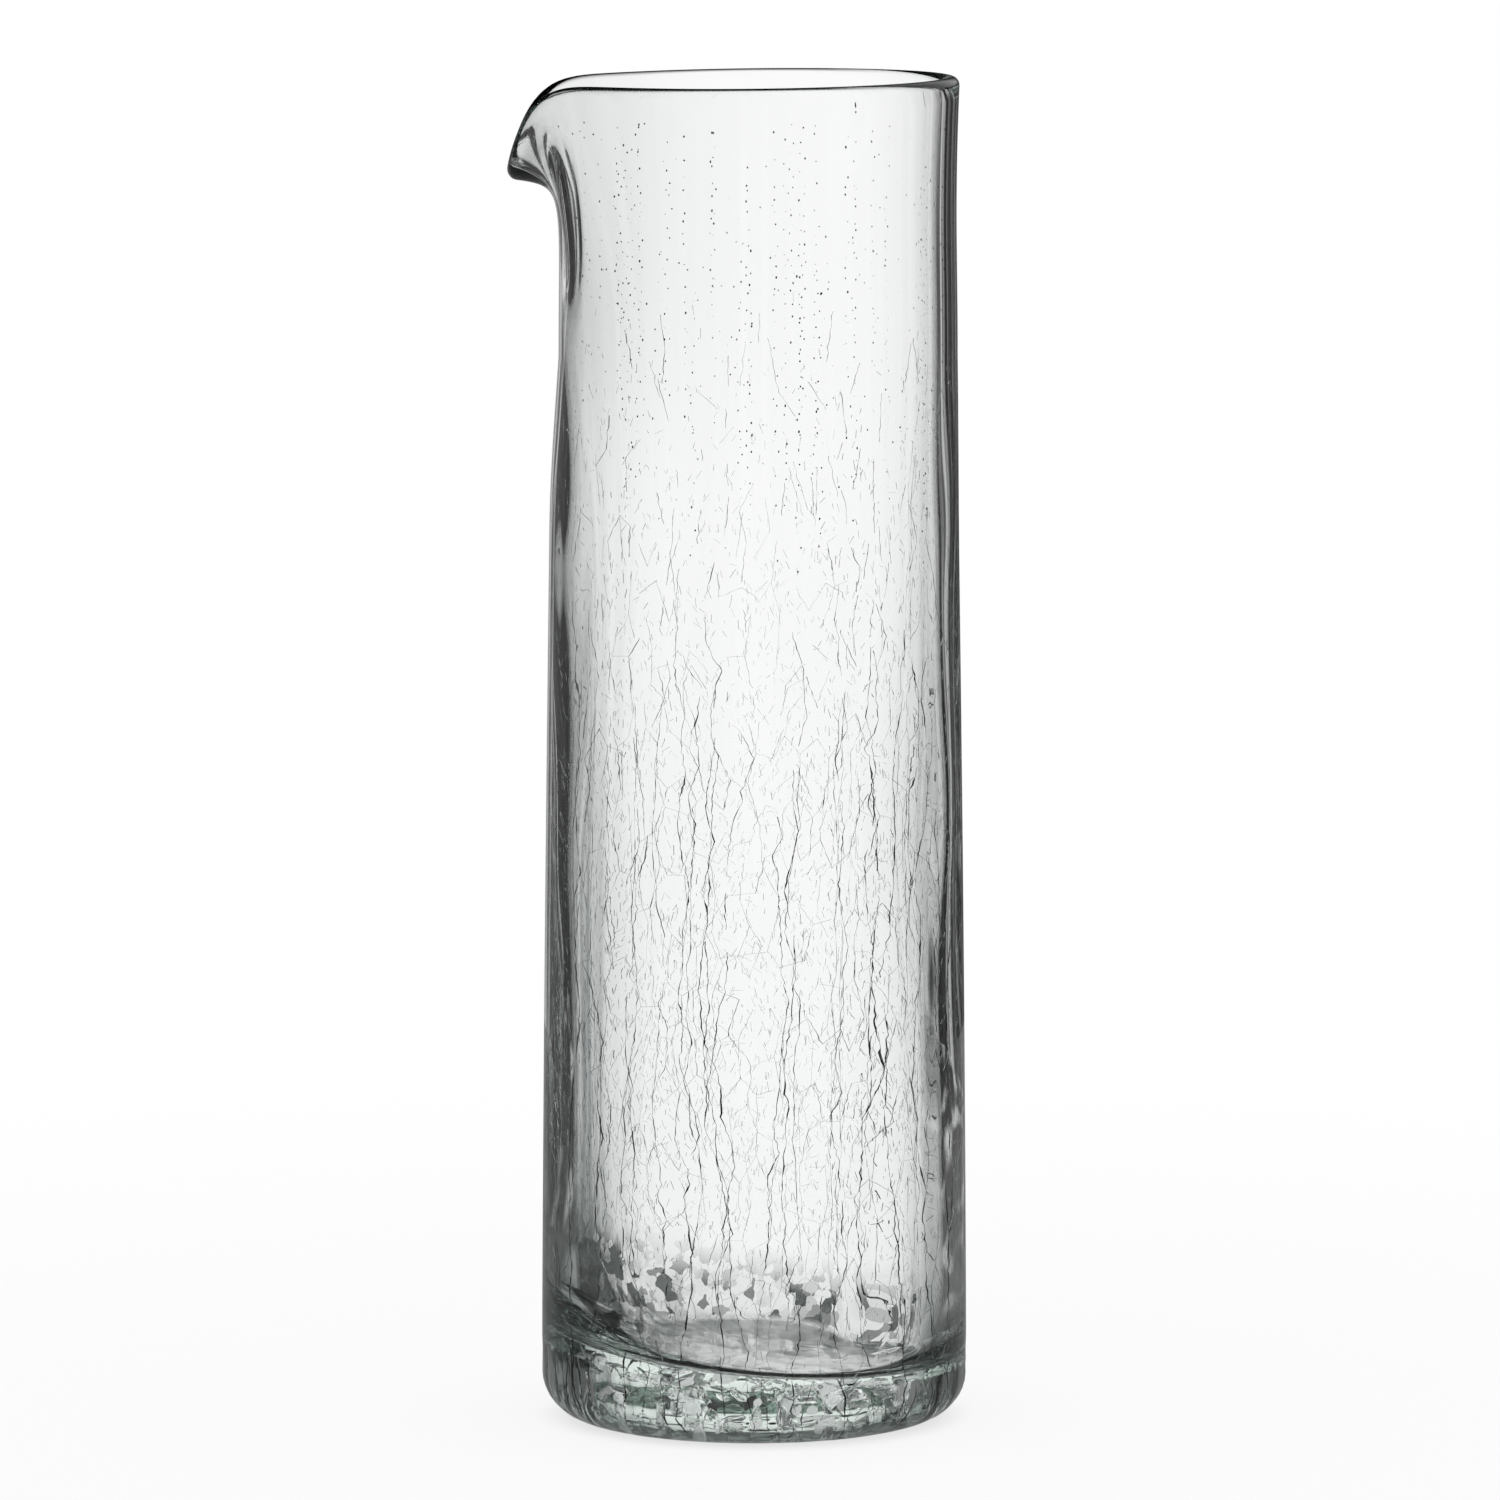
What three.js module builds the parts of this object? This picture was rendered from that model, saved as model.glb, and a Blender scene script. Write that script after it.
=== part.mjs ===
// Crackle-glass pitcher: a tall, slightly tapered, hand-blown cylinder with a heavy foot and a pulled spout.
// The real pitcher is one continuous piece of glass. It is divided here where the glass itself changes:
// the solid foot, the crackled wall, the clear collar with the rim, and the pulled spout.
// Millimetres, +Z up. The origin is on the axis of the body, on the table. The spout points along -X.
import * as THREE from 'three';
import { LoftGeometry } from 'three/addons/geometries/LoftGeometry.js';

// Whole vessel, outside
const height = 280;            // table to the top of the rim
const footRadius = 44.6;       // where the taper of the wall would meet the table
const neckTaper = 2.9;         // the narrowest place, under the rim, is drawn in by this
const neckDepth = 30;          // rim down to that narrowest place
const mouthFlare = 0.7;        // the rim stands out this far past that place
const rimFall = 0.9;           // the rim lies this much lower on the spout side, before the lip is pulled
const taperPower = 1.4;        // above 1 the wall swells a little between foot and neck

// Heel and foot
const heelRound = 9.3;         // rounding between the side and the flat underside
const floorThickness = 14;     // solid glass under the middle of the inside floor
const floorTilt = 4;           // degrees: the inside floor is higher on the spout side
const cornerRound = 5;         // reach of the fillet between the inside floor and the wall
const cornerWide = 6;          // the fillet is larger by this under the spout and opposite it
const cornerSkew = 3;          // and by this on the spout side alone, smaller opposite
const footMargin = 4;          // plain wall that belongs to the foot, above its highest fillet

// Wall
const wallAtFoot = 7.6;
const wallAtRim = 3.6;
const wallThinning = 1.3;      // above 1 the wall thins quickly near the foot and slowly near the rim

// Collar: the clear glass above the crackle
const collarHeight = 58;       // rim down to where the crackle starts
const collarFlare = 3;         // degrees: the rim leans outwards
const collarHandle = 25;       // stretch of wall that follows this lean
const throatHandle = 20;       // stretch of wall that rises straight from the crackle

// Pulled spout
const spoutReach = 8.8;        // the lip stands out this far past the rim
const spoutDrop = 16;          // the lip lies this far below the rim beside it
const spoutWidth = 29;         // degrees from the middle to where the reach has mostly died out
const spoutFullness = 2.2;     // above 2 the reach is fuller in the middle and dies out more quickly
const spoutNotch = 15.5;       // degrees from the middle to where the drop has mostly died out
const spoutSector = 48;        // degrees: half the arc of glass that is worked into the spout
const lipThickness = 4.6;      // glass at the tip of the lip
const lipGathering = 3;        // above 1 the glass stays thin up the throat and gathers at the rim
const lipRise = 12;            // degrees: the lip climbs towards its tip
const lipHandle = 12;          // stretch of glass that follows the lip
const spoutThroat = 34;        // straight rise of the glass under the lip
const throatDent = 2.2;        // the wall under the lip is drawn in by this
const throatThinning = 1.7;    // and is thinner by this
const throatDentWidth = 35;    // degrees from the middle to where the dent has mostly died out
const throatDentStart = 95;    // rim down to where the dent starts
const throatDentFull = 38;     // rim down to where the dent is deepest

// Fineness of the facets
const stepAngle = 6;           // degrees between sections round the body
const spoutStepAngle = 3;      // degrees between sections across the spout
const wallSteps = 8;
const collarSteps = 12;
const roundSteps = 6;

const { degToRad, lerp, smoothstep } = THREE.MathUtils;
const point = (r, z) => new THREE.Vector2(r, z);
const bell = (angle, width, power = 2) => Math.exp(-Math.pow(Math.abs(angle) / width, power));

const neckRadius = footRadius - neckTaper;
const mouthRadius = neckRadius + mouthFlare;

// Heights where the pieces meet
const tiltRise = (footRadius - wallAtFoot) * Math.tan(degToRad(floorTilt));
const footTop = floorThickness + tiltRise + cornerRound + cornerWide + cornerSkew + footMargin;
const crackleTop = height - collarHeight;

// From 0 to 1: how far the wall is drawn into the throat under the lip, at height z and `angle` degrees
// from the middle of the spout
function drawnIn(z, angle) {
  return smoothstep(z, height - throatDentStart, height - throatDentFull) * bell(angle, throatDentWidth);
}

function outerRadius(z, angle) {
  const taper = Math.pow(z / (height - neckDepth), taperPower);
  return lerp(footRadius, neckRadius, taper) - throatDent * drawnIn(z, angle);
}

function wallThickness(z, angle) {
  const even = lerp(wallAtRim, wallAtFoot, Math.pow(1 - z / height, wallThinning));
  return even - throatThinning * drawnIn(z, angle);
}

function innerRadius(z, angle) {
  return outerRadius(z, angle) - wallThickness(z, angle);
}

// Points of a wall line between two heights, both ends included
function wallLine(radiusAt, from, to, angle, steps) {
  return Array.from({ length: steps + 1 }, (_, i) => {
    const z = lerp(from, to, i / steps);
    return point(radiusAt(z, angle), z);
  });
}

// Section of the foot: along the inside floor, up the fillet, down the outside, round the heel, to the axis
function footSection(angle) {
  const lean = Math.cos(degToRad(angle));
  const slope = Math.tan(degToRad(floorTilt)) * lean;
  const round = cornerRound + cornerWide * lean * lean + cornerSkew * lean;
  const cornerRadius = innerRadius(floorThickness, angle);
  const cornerHeight = floorThickness + slope * cornerRadius;
  const filletTop = cornerHeight + round;
  const fillet = new THREE.QuadraticBezierCurve(
    point(cornerRadius - round, cornerHeight - slope * round),
    point(innerRadius(cornerHeight, angle), cornerHeight),
    point(innerRadius(filletTop, angle), filletTop),
  );
  const heel = Array.from({ length: roundSteps + 1 }, (_, i) => {
    const turn = degToRad(90 * i / roundSteps);
    const sideRadius = outerRadius(heelRound, angle);
    return point(sideRadius - heelRound * (1 - Math.cos(turn)), heelRound * (1 - Math.sin(turn)));
  });
  return [
    point(0, floorThickness),
    ...fillet.getPoints(roundSteps),
    point(innerRadius(footTop, angle), footTop),
    ...wallLine(outerRadius, footTop, heelRound, angle, roundSteps).slice(0, -1),
    ...heel,
    point(0, 0),
  ];
}

// Section of the crackled wall: up the inside, down the outside
function crackleSection(angle) {
  return [
    ...wallLine(innerRadius, footTop, crackleTop, angle, wallSteps),
    ...wallLine(outerRadius, crackleTop, footTop, angle, wallSteps),
  ];
}

// Section of the collar or the spout. One curve runs up the middle of the wall. Its upper end is pulled
// outwards and down towards the middle of the spout. The wall lies on both sides of it, up to a round rim.
function rimSection(angle) {
  const pull = bell(angle, spoutWidth, spoutFullness);
  const notch = bell(angle, spoutNotch);
  const footHalf = wallThickness(crackleTop, angle) / 2;
  const foot = point(outerRadius(crackleTop, angle) - footHalf, crackleTop);
  const rimHalf = lerp(wallAtRim, lipThickness, notch) / 2;
  const rim = point(
    mouthRadius + spoutReach * pull - rimHalf,
    height - rimFall * (1 + Math.cos(degToRad(angle))) / 2 - spoutDrop * notch - rimHalf,
  );
  const climb = degToRad(lerp(90 - collarFlare, lipRise, notch));
  const handle = lerp(collarHandle, lipHandle, notch);
  const middle = new THREE.CubicBezierCurve(
    foot,
    point(foot.x, foot.y + lerp(throatHandle, spoutThroat, notch)),
    point(rim.x - handle * Math.cos(climb), rim.y - handle * Math.sin(climb)),
    rim,
  );
  const inside = [];
  const outside = [];
  for (let i = 0; i <= collarSteps; i++) {
    const along = i / collarSteps;
    const centre = middle.getPoint(along);
    const tangent = middle.getTangent(along);
    const half = lerp(footHalf, rimHalf, Math.pow(along, lipGathering));
    inside.push(point(centre.x - half * tangent.y, centre.y + half * tangent.x));
    outside.unshift(point(centre.x + half * tangent.y, centre.y - half * tangent.x));
  }
  const roundRim = [];
  for (let i = 1; i < roundSteps; i++) {
    const turn = climb + degToRad(90 - 180 * i / roundSteps);
    roundRim.push(point(rim.x + rimHalf * Math.cos(turn), rim.y + rimHalf * Math.sin(turn)));
  }
  return [...inside, ...roundRim, ...outside];
}

// A section stands upright in the plane that holds the axis and lies `angle` degrees from the spout
function standUpright(section, angle) {
  const turn = degToRad(180 + angle);
  return section.map((p) => new THREE.Vector3(p.x * Math.cos(turn), p.x * Math.sin(turn), p.y));
}

// Loft of one kind of section through an arc round the axis
function loftRound(sectionAt, fromAngle, toAngle, step, options) {
  const count = Math.round((toAngle - fromAngle) / step);
  const sections = Array.from({ length: count + 1 }, (_, i) => {
    const angle = lerp(fromAngle, toAngle, i / count);
    const fromSpout = angle > 180 ? angle - 360 : angle;
    return standUpright(sectionAt(fromSpout), fromSpout);
  });
  return new LoftGeometry(sections, options);
}

const fullTurn = [0, 360, stepAngle];
const collarArc = [spoutSector, 360 - spoutSector, stepAngle];
const spoutArc = [-spoutSector, spoutSector, spoutStepAngle];
const endCaps = { capStart: true, capEnd: true };

const pieces = {
  heavy_foot: loftRound(footSection, ...fullTurn, { closed: false }),
  crackled_wall: loftRound(crackleSection, ...fullTurn, {}),
  clear_collar: loftRound(rimSection, ...collarArc, endCaps),
  pouring_spout: loftRound(rimSection, ...spoutArc, endCaps),
};

const glassColours = {
  heavy_foot: 0xc9d6cf,
  crackled_wall: 0xdfe6e3,
  clear_collar: 0xeaf0ee,
  pouring_spout: 0xe3ebe7,
};

const pitcher = new THREE.Group();
for (const [name, geometry] of Object.entries(pieces)) {
  const glass = new THREE.MeshStandardMaterial({ color: glassColours[name], roughness: 0.05, metalness: 0 });
  const mesh = new THREE.Mesh(geometry, glass);
  mesh.name = name;
  pitcher.add(mesh);
}

export default pitcher;
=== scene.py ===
"""Crackle-glass pitcher: one continuous piece of hand-blown glass, its cracks and its seed bubbles.

The glass is spun from its section and pulled into a spout. Cracks, fractures and bubbles are air inside it.
"""
import math
import random

import bmesh
import bpy
from bpy.props import FloatProperty, FloatVectorProperty, IntProperty, PointerProperty
from mathutils import Euler, Matrix, Vector, geometry, noise


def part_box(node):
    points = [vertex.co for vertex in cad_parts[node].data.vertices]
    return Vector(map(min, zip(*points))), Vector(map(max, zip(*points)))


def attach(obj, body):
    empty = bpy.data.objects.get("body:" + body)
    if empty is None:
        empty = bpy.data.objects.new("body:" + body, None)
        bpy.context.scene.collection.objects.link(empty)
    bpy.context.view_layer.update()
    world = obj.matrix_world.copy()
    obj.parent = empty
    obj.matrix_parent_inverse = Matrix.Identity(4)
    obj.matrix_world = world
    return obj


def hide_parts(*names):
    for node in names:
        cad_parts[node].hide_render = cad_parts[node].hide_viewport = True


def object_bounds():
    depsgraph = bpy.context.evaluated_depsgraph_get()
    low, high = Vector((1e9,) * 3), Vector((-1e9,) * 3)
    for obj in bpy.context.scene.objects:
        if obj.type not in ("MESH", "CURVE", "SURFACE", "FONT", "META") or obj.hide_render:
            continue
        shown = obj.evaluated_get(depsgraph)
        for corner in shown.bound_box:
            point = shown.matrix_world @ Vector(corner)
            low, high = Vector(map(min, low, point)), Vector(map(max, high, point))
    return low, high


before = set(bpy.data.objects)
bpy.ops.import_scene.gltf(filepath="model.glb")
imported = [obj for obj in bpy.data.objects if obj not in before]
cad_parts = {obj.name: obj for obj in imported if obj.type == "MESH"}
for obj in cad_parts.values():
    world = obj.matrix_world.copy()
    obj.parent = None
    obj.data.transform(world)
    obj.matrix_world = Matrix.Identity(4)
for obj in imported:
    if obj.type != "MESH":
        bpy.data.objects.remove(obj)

bl_info = {
    "name": "Crackle-Glass Pitcher",
    "version": (1, 0, 0),
    "blender": (4, 5, 0),
    "location": "View3D > Sidebar > Pitcher",
    "description": "Models a hand-blown crackle-glass pitcher and sets it on a pale stage",
    "category": "Add Mesh",
}

MM = 0.001
NODES = ("heavy_foot", "crackled_wall", "clear_collar", "pouring_spout")
CAD_LOW, CAD_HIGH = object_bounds()
CRACKLE_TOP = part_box("crackled_wall")[1].z


class PitcherShape(bpy.types.PropertyGroup):
    """Sizes of the glass: those of the solids, but for a shorter lip and thinner glass under it"""
    height: FloatProperty(
        name="Height", description="Table to the top of the rim", default=CAD_HIGH.z, unit="LENGTH")
    foot_radius: FloatProperty(
        name="Foot Radius", description="Where the taper of the wall would meet the table",
        default=44.6 * MM, unit="LENGTH")
    neck_radius: FloatProperty(
        name="Neck Radius", description="Narrowest place, under the rim", default=41.7 * MM, unit="LENGTH")
    neck_depth: FloatProperty(
        name="Neck Depth", description="Rim down to the narrowest place", default=30 * MM, unit="LENGTH")
    mouth_radius: FloatProperty(
        name="Mouth Radius", description="Outside of the rim", default=42.4 * MM, unit="LENGTH")
    rim_fall: FloatProperty(
        name="Rim Fall", description="The rim lies this much lower on the spout side",
        default=0.9 * MM, unit="LENGTH")
    taper_power: FloatProperty(
        name="Taper Power", description="Above 1 the wall swells between foot and neck", default=1.4)
    heel_round: FloatProperty(
        name="Heel Round", description="Rounding between the side and the underside",
        default=9.3 * MM, unit="LENGTH")
    floor_thickness: FloatProperty(
        name="Floor Thickness", description="Glass under the middle of the inside floor",
        default=14 * MM, unit="LENGTH")
    floor_tilt: FloatProperty(
        name="Floor Tilt", description="The inside floor is higher on the spout side",
        default=math.radians(4), unit="ROTATION")
    corner_round: FloatProperty(
        name="Corner Round", description="Fillet between the inside floor and the wall",
        default=5 * MM, unit="LENGTH")
    corner_wide: FloatProperty(
        name="Corner Wide", description="The fillet is larger by this under the spout and opposite it",
        default=6 * MM, unit="LENGTH")
    corner_skew: FloatProperty(
        name="Corner Skew", description="The fillet is larger by this on the spout side, smaller opposite",
        default=3 * MM, unit="LENGTH")
    wall_at_foot: FloatProperty(
        name="Wall at Foot", description="Thickness of the wall low down", default=7.6 * MM, unit="LENGTH")
    wall_at_rim: FloatProperty(
        name="Wall at Rim", description="Thickness of the wall at the rim", default=3.6 * MM, unit="LENGTH")
    wall_thinning: FloatProperty(
        name="Wall Thinning", description="Above 1 the wall thins quickly near the foot", default=1.3)
    collar_flare: FloatProperty(
        name="Collar Flare", description="Lean of the rim outwards",
        default=math.radians(3), unit="ROTATION")
    collar_handle: FloatProperty(
        name="Collar Handle", description="Stretch of wall that follows this lean",
        default=25 * MM, unit="LENGTH")
    throat_handle: FloatProperty(
        name="Throat Handle", description="Stretch of wall that rises straight from the crackle",
        default=20 * MM, unit="LENGTH")
    spout_reach: FloatProperty(
        name="Spout Reach", description="The lip stands out this far past the rim",
        default=8.74 * MM, unit="LENGTH")
    spout_drop: FloatProperty(
        name="Spout Drop", description="The lip lies this far below the rim beside it",
        default=16 * MM, unit="LENGTH")
    spout_width: FloatProperty(
        name="Spout Width", description="From the middle to where the reach has mostly died out",
        default=math.radians(29), unit="ROTATION")
    spout_fullness: FloatProperty(
        name="Spout Fullness", description="Above 2 the reach dies out more quickly", default=2.2)
    spout_notch: FloatProperty(
        name="Spout Notch", description="From the middle to where the drop has mostly died out",
        default=math.radians(15.5), unit="ROTATION")
    lip_thickness: FloatProperty(
        name="Lip Thickness", description="Glass at the tip of the lip", default=4.6 * MM, unit="LENGTH")
    lip_gathering: FloatProperty(
        name="Lip Gathering", description="Above 1 the glass gathers at the rim", default=3.0)
    lip_rise: FloatProperty(
        name="Lip Rise", description="Climb of the lip towards its tip",
        default=math.radians(12), unit="ROTATION")
    lip_handle: FloatProperty(
        name="Lip Handle", description="Stretch of glass that follows the lip",
        default=12 * MM, unit="LENGTH")
    spout_throat: FloatProperty(
        name="Spout Throat", description="Straight rise of the glass under the lip",
        default=34 * MM, unit="LENGTH")
    throat_dent: FloatProperty(
        name="Throat Dent", description="The wall under the lip is drawn in by this",
        default=2.2 * MM, unit="LENGTH")
    throat_thinning: FloatProperty(
        name="Throat Thinning", description="The wall under the lip is thinner by this",
        default=2.1 * MM, unit="LENGTH")
    throat_dent_width: FloatProperty(
        name="Throat Dent Width", description="From the middle to where the dent has mostly died out",
        default=math.radians(35), unit="ROTATION")
    throat_dent_start: FloatProperty(
        name="Throat Dent Start", description="Rim down to where the dent starts",
        default=95 * MM, unit="LENGTH")
    throat_dent_full: FloatProperty(
        name="Throat Dent Full", description="Rim down to where the dent is deepest",
        default=38 * MM, unit="LENGTH")


class PitcherCrackle(bpy.types.PropertyGroup):
    """Cracks, ripples and bubbles in the glass"""
    unevenness: FloatProperty(
        name="Unevenness", description="How far the inside of the wall wanders in and out",
        default=1.1 * MM, unit="LENGTH")
    ripple: FloatProperty(
        name="Ripple", description="Height of the upright ripples on both faces of the wall",
        default=0.27 * MM, unit="LENGTH")
    facet_size: FloatProperty(
        name="Facet Size", description="Width of the facets on the inside floor and its fillet",
        default=2.7 * MM, unit="LENGTH")
    facet_slope: FloatProperty(
        name="Facet Slope", description="How far these facets lean, as rise over run", default=0.5)
    facet_fade: FloatProperty(
        name="Facet Fade", description="The facets die out over this height above the fillet",
        default=10 * MM, unit="LENGTH")
    underside_lift: FloatProperty(
        name="Underside Lift", description="Height of the waves on the underside",
        default=0.35 * MM, unit="LENGTH")
    heel_dent: FloatProperty(
        name="Heel Dent", description="Depth of the small dents all over the foot",
        default=0.32 * MM, unit="LENGTH")
    dent_width: FloatProperty(
        name="Dent Width", description="Distance over which these dents come and go",
        default=2.5 * MM, unit="LENGTH")
    wave_width: FloatProperty(
        name="Wave Width", description="Distance over which the waves on the underside come and go",
        default=9 * MM, unit="LENGTH")
    crack_gap: FloatProperty(
        name="Crack Gap", description="Air between the two faces of a crack",
        default=0.05 * MM, unit="LENGTH")
    skin: FloatProperty(
        name="Skin", description="Clear glass that covers a healed crack", default=0.06 * MM, unit="LENGTH")
    upright_count: IntProperty(
        name="Upright Cracks", description="Long cracks round the body", default=32)
    upright_depth: FloatProperty(
        name="Upright Depth", description="Depth of the long cracks", default=0.8 * MM, unit="LENGTH")
    cell_width: FloatProperty(
        name="Cell Width", description="Width of the cells between the finer cracks",
        default=6.5 * MM, unit="LENGTH")
    cell_height: FloatProperty(
        name="Cell Height", description="Height of these cells", default=13 * MM, unit="LENGTH")
    cell_depth: FloatProperty(
        name="Cell Depth", description="Depth of the finer cracks", default=0.5 * MM, unit="LENGTH")
    hair_count: IntProperty(
        name="Hair Cracks", description="Short fine cracks", default=7500)
    hair_depth: FloatProperty(
        name="Hair Depth", description="Depth of the short cracks", default=0.18 * MM, unit="LENGTH")
    foot_count: IntProperty(
        name="Foot Cracks", description="Deep cracks round the foot", default=30)
    foot_depth: FloatProperty(
        name="Foot Depth", description="Depth of the cracks in the foot", default=1.0 * MM, unit="LENGTH")
    foot_reach: FloatProperty(
        name="Foot Reach", description="The deep cracks end at about this height",
        default=16 * MM, unit="LENGTH")
    shard_count: IntProperty(
        name="Inner Fractures", description="Number of fractures inside the foot", default=220)
    shard_size: FloatProperty(
        name="Fracture Size", description="Half the width of a large fracture",
        default=3.2 * MM, unit="LENGTH")
    core_radius: FloatProperty(
        name="Core Radius", description="These fractures keep to the middle of the foot",
        default=31 * MM, unit="LENGTH")
    shell_depth: FloatProperty(
        name="Shell Depth", description="Depth of the fractures that part the skin of the foot from its core",
        default=9.5 * MM, unit="LENGTH")
    shell_lean: FloatProperty(
        name="Shell Lean", description="How far these fractures lean outwards, as run over rise",
        default=0.25)
    string_count: IntProperty(
        name="Seed Strings", description="Upright strings of bubbles in the upper wall", default=48)
    loose_count: IntProperty(
        name="Loose Seeds", description="Bubbles that belong to no string", default=240)
    seed_radius: FloatProperty(
        name="Seed Radius", description="Half the width of a large bubble",
        default=0.21 * MM, unit="LENGTH")


class PitcherGlass(bpy.types.PropertyGroup):
    """Finish of the glass"""
    refraction: FloatProperty(name="Refraction", description="Index of refraction", default=1.47)
    clear_colour: FloatVectorProperty(
        name="Clear Glass", description="Tint of one pass straight through the surface",
        default=(1.0, 1.0, 1.0), subtype="COLOR")
    # Painted shade: the glass takes on the edge colour where it is seen along its surface
    edge_shade_colour: FloatVectorProperty(
        name="Glass Edge", description="Tint of one pass along the surface",
        default=(0.22, 0.24, 0.24), subtype="COLOR")
    edge_shade_power: FloatProperty(
        name="Edge Power", description="Above 1 the tint keeps to the edge", default=1.8)
    # Painted shade in soft upright bands below the spout
    painted_band_shade: FloatProperty(
        name="Grey", description="How strong the soft grey bands are", default=0.09)
    # Painted shade on the foot where it is seen along its surface
    foot_shade_colour: FloatVectorProperty(
        name="Heavy Foot", description="Tint of one pass along the surface of the foot",
        default=(0.14, 0.165, 0.155), subtype="COLOR")
    # Painted shade: a near-black line round the rim and under the lip
    rim_shade_colour: FloatVectorProperty(
        name="Rim", description="Tint of one pass through the round rim",
        default=(0.0006, 0.001, 0.0008), subtype="COLOR")
    # Painted shade on the facets in the corner of the inside floor
    facet_shade_colour: FloatVectorProperty(
        name="Facet", description="Tint of one pass through the darkest facets in the corner of the floor",
        default=(0.015, 0.018, 0.0175), subtype="COLOR")
    mirror: FloatProperty(
        name="Mirror", description="Share of the plain reflection that the glass keeps", default=0.35)
    plate_roughness: FloatProperty(
        name="Plate Roughness", description="How soft the mirror image on the inside floor is", default=0.35)
    plate_refraction: FloatProperty(
        name="Plate Refraction", description="Index of refraction of that mirror coat", default=2.4)
    # Painted shade: the next three colours darken the faces of cracks and bubbles, whose air has no colour
    crack_shade_colour: FloatVectorProperty(
        name="Crack", description="Tint of one pass through the face of a fine crack",
        default=(0.72, 0.74, 0.74), subtype="COLOR")
    deep_crack_shade_colour: FloatVectorProperty(
        name="Deep Crack", description="Tint of one pass through the face of a long crack",
        default=(0.1, 0.105, 0.105), subtype="COLOR")
    seed_shade_colour: FloatVectorProperty(
        name="Seed", description="Tint of one pass through the face of a bubble",
        default=(0.10, 0.11, 0.11), subtype="COLOR")
    body_colour: FloatVectorProperty(
        name="Body Tint", description="Colour that thick glass takes on",
        default=(0.88, 0.93, 0.905), subtype="COLOR")
    body_density: FloatProperty(
        name="Body Density", description="How quickly thick glass takes on its tint, per metre",
        default=22.0)


class PitcherStage(bpy.types.PropertyGroup):
    """Camera, floor and light"""
    camera_distance: FloatProperty(
        name="Camera Distance", description="From the axis of the pitcher", default=2.192, unit="LENGTH")
    camera_height: FloatProperty(
        name="Camera Height", description="Above the table", default=0.3937, unit="LENGTH")
    camera_side: FloatProperty(
        name="Camera Side", description="To the right of the axis", default=-0.89 * MM, unit="LENGTH")
    camera_tilt: FloatProperty(
        name="Camera Tilt", description="Below the horizontal",
        default=math.radians(6.606), unit="ROTATION")
    lens: FloatProperty(name="Lens", description="Focal length in millimetres", default=254.5)
    floor_radius: FloatProperty(
        name="Floor Radius", description="Size of the round pale floor", default=0.6, unit="LENGTH")
    floor_colour: FloatVectorProperty(
        name="Floor", description="Colour of the floor", default=(0.86, 0.86, 0.86), subtype="COLOR")
    shaded_floor: FloatProperty(
        name="Shaded Floor", description="Brightness of the floor under the foot", default=0.85)
    flag_dark: FloatProperty(
        name="Dark Flags", description="Darkest thing that light mirrored inside the glass meets",
        default=0.015)
    flag_pale: FloatProperty(
        name="Pale Flags", description="Palest thing beside the pitcher that such light meets", default=0.6)
    overhead: FloatProperty(
        name="Overhead", description="Brightness overhead for such light", default=0.9)
    core: FloatProperty(
        name="Core", description="Brightness under the middle of the foot for such light", default=0.7)
    table: FloatProperty(
        name="Table", description="Brightness of the floor close round the foot for such light",
        default=0.12)
    reflection: FloatProperty(
        name="Reflection", description="Brightness beside the pitcher for light mirrored by its outside",
        default=0.2)
    pale_side: FloatProperty(
        name="Pale Side", description="Brightness on the spout's side for that light", default=0.75)
    floor_reflection: FloatProperty(
        name="Floor Reflection", description="Brightness of the floor for that light", default=0.28)
    ceiling: FloatProperty(
        name="Ceiling", description="Brightness overhead for that light", default=0.01)
    pale_ceiling: FloatProperty(
        name="Pale Ceiling", description="Brightness overhead, opposite the spout, for that light",
        default=0.8)


def bell(angle, width, power=2.0):
    """1 in the middle of the spout, dying out to both sides"""
    return math.exp(-((abs(angle) / width) ** power))


def blend(a, b, share):
    return a + (b - a) * share


def smooth_step(value, low, high):
    share = min(max((value - low) / (high - low), 0.0), 1.0)
    return share * share * (3 - 2 * share)


def wrap(angle):
    """The same direction, from -180 to 180 degrees off the spout"""
    return math.remainder(angle, 2 * math.pi)


def place_round(radius, z, angle):
    """Point at a radius and height, `angle` from the spout, which points along -X"""
    return Vector((-radius * math.cos(angle), -radius * math.sin(angle), z))


def wall_noise(angle, z, turns, tall, shift=(0, 0)):
    """Smooth noise from -1 to 1: many `turns` make it change quickly round the wall, `tall` slowly up it"""
    return noise.noise(Vector((
        math.cos(angle) * turns + shift[0], math.sin(angle) * turns + shift[1], z / tall)))


def upright_ripple(angle, z, phase):
    """-1 to 1: ripples that run up the wall"""
    wide = wall_noise(angle, z, turns=3.5, tall=0.11, shift=(phase, 0))
    fine = wall_noise(angle, z, turns=8, tall=0.05, shift=(0, phase))
    return 0.9 * wide + 0.1 * fine


def hand_blown(angle, z):
    """-1 to 1: where the wall was blown thinner and thicker"""
    return wall_noise(angle, z, turns=1.7, tall=0.06, shift=(0, 3))


def drawn_in(shape, z, angle):
    """0 to 1: how far the wall is drawn into the throat under the lip"""
    rise = smooth_step(z, shape.height - shape.throat_dent_start, shape.height - shape.throat_dent_full)
    return rise * bell(angle, shape.throat_dent_width)


def outer_radius(shape, z, angle):
    taper_share = (max(z, 0.0) / (shape.height - shape.neck_depth)) ** shape.taper_power
    drawn = shape.throat_dent * drawn_in(shape, z, angle)
    return blend(shape.foot_radius, shape.neck_radius, taper_share) - drawn


def wall_thickness(shape, z, angle):
    even = blend(shape.wall_at_rim, shape.wall_at_foot, (1 - z / shape.height) ** shape.wall_thinning)
    return even - shape.throat_thinning * drawn_in(shape, z, angle)


def inner_radius(shape, z, angle):
    return outer_radius(shape, z, angle) - wall_thickness(shape, z, angle)


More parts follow.
